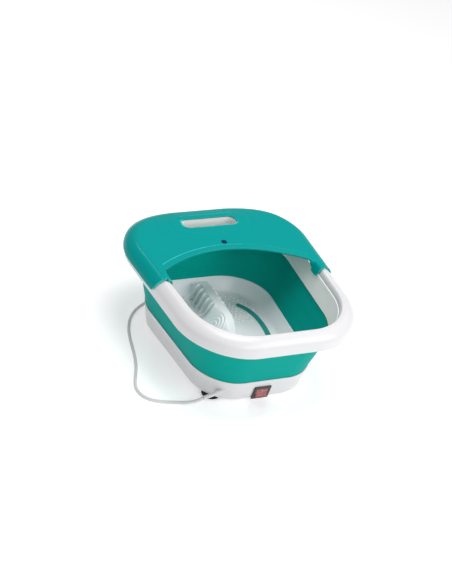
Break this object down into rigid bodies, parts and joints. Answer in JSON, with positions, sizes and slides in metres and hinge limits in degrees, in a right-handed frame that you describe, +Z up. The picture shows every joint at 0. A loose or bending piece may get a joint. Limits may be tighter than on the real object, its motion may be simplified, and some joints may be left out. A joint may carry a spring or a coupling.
{
  "type": "foot spa basin",
  "caption": "Collapsible foot spa with a folding silicone wall, a white base and rim, a clip-on splash cover, a rocker switch and a mains cord.",
  "frame": {"origin": "on the floor under the middle of the rim", "axes": "+Z up, -Y towards the front with the switch, +X to the right seen from the front"},
  "size_m": [0.4019, 0.4601, 0.1851],
  "materials": {
    "white_shell": "satin moulded white plastic",
    "pan_white": "satin moulded white plastic",
    "teal_shell": "satin moulded teal plastic",
    "silicone": "matt teal silicone",
    "foot_rubber": "matt black rubber",
    "black_plastic": "fine-textured black plastic",
    "red_lens": "clear red plastic, lit from behind",
    "badge_blue": "plain dark-blue plate",
    "cord_pvc": "pale grey PVC sheath",
    "steel": "bright steel",
    "aluminium": "plain aluminium",
    "brass": "plain brass",
    "board": "green circuit laminate",
    "grey_plastic": "grey moulded plastic"
  },
  "bodies": {
    "base": {"basin_pan": "pan_white", "base_housing": "white_shell", "bottom_cover": "white_shell", "lower_clamp_ring": "grey_plastic", "folding_wall": "silicone", "foot_front_left": "foot_rubber", "foot_front_right": "foot_rubber", "foot_rear_left": "foot_rubber", "foot_rear_right": "foot_rubber", "cover_screw_1": "steel", "cover_screw_2": "steel", "cover_screw_3": "steel", "cover_screw_4": "steel", "bubble_strip_left": "teal_shell", "bubble_strip_right": "teal_shell", "switch_bezel": "black_plastic", "vibration_motor": "steel", "motor_bracket": "grey_plastic", "air_pump": "black_plastic", "air_hose_left": "grey_plastic", "air_hose_right": "grey_plastic", "heater_plate": "aluminium", "thermostat": "black_plastic", "thermal_fuse": "white_shell", "control_board": "board", "board_relay": "black_plastic", "terminal_block": "white_shell", "cord_gland": "cord_pvc", "power_cord": "cord_pvc", "cord_coil": "cord_pvc", "cord_tail": "cord_pvc", "plug_body": "cord_pvc", "plug_pin_left": "brass", "plug_pin_right": "brass"},
    "rim": {"rim_frame": "white_shell", "rim_liner": "white_shell"},
    "cover": {"splash_cover": "teal_shell", "cover_badge": "badge_blue"},
    "rocker": {"switch_rocker": "red_lens"},
    "rotor": {"eccentric_weight": "brass"}
  },
  "joints": [
    {"name": "collapse", "type": "slide", "parent": "base", "child": "rim", "axis": [0, 0, -1], "range_m": [0, 0.068], "deforming": ["folding_wall"]},
    {"name": "cover_lift", "type": "slide", "parent": "rim", "child": "cover", "axis": [0, 0, 1], "range_m": [0, 0.08]},
    {"name": "switch_tip", "type": "hinge", "parent": "base", "child": "rocker", "pos_m": [-0.002, -0.1561, 0.021], "axis": [1, 0, 0], "range_deg": [0, 18]},
    {"name": "motor_spin", "type": "hinge", "parent": "base", "child": "rotor", "pos_m": [0, -0.008, 0.031], "axis": [0, 1, 0], "continuous": true}
  ]
}
